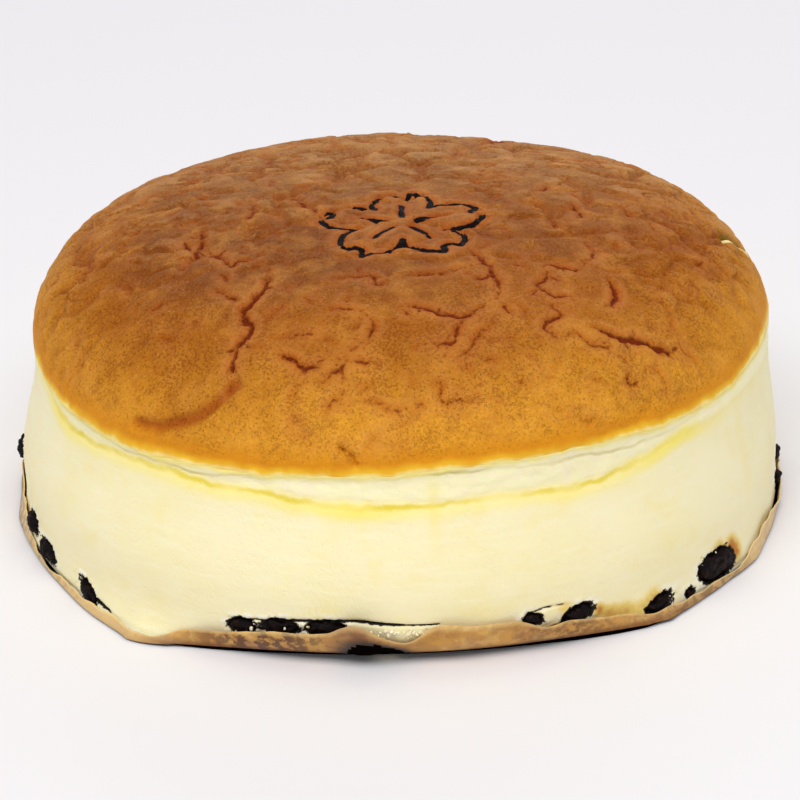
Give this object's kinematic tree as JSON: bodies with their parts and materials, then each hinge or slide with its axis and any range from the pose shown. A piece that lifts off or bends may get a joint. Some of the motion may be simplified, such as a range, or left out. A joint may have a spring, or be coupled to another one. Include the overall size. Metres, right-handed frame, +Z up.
{
  "type": "jiggly cheesecake",
  "caption": "Round souffle cheesecake with a domed browned crust, pale sponge sides and raisins round its foot, standing in a shallow turned-up baking paper.",
  "frame": {"origin": "centre of the baking paper's flat underside", "axes": "+Z up through the crown of the dome, -Y towards the flatter front of the foot, where the paper is folded up"},
  "size_m": [0.1855, 0.1824, 0.0729],
  "materials": {
    "crust": null,
    "crumb": null,
    "liner": "greasy tan baking paper, half glossy",
    "raisin": null
  },
  "bodies": {
    "root": {"cake": "crumb", "liner": "liner", "raisin_01": "raisin", "raisin_02": "raisin", "raisin_03": "raisin", "raisin_04": "raisin", "raisin_05": "raisin", "raisin_06": "raisin", "raisin_07": "raisin", "raisin_08": "raisin", "raisin_09": "raisin", "raisin_10": "raisin", "raisin_11": "raisin", "raisin_12": "raisin", "raisin_13": "raisin", "raisin_14": "raisin", "raisin_15": "raisin", "raisin_16": "raisin", "raisin_17": "raisin", "raisin_18": "raisin", "raisin_19": "raisin", "raisin_20": "raisin", "raisin_21": "raisin", "raisin_22": "raisin"}
  },
  "joints": []
}
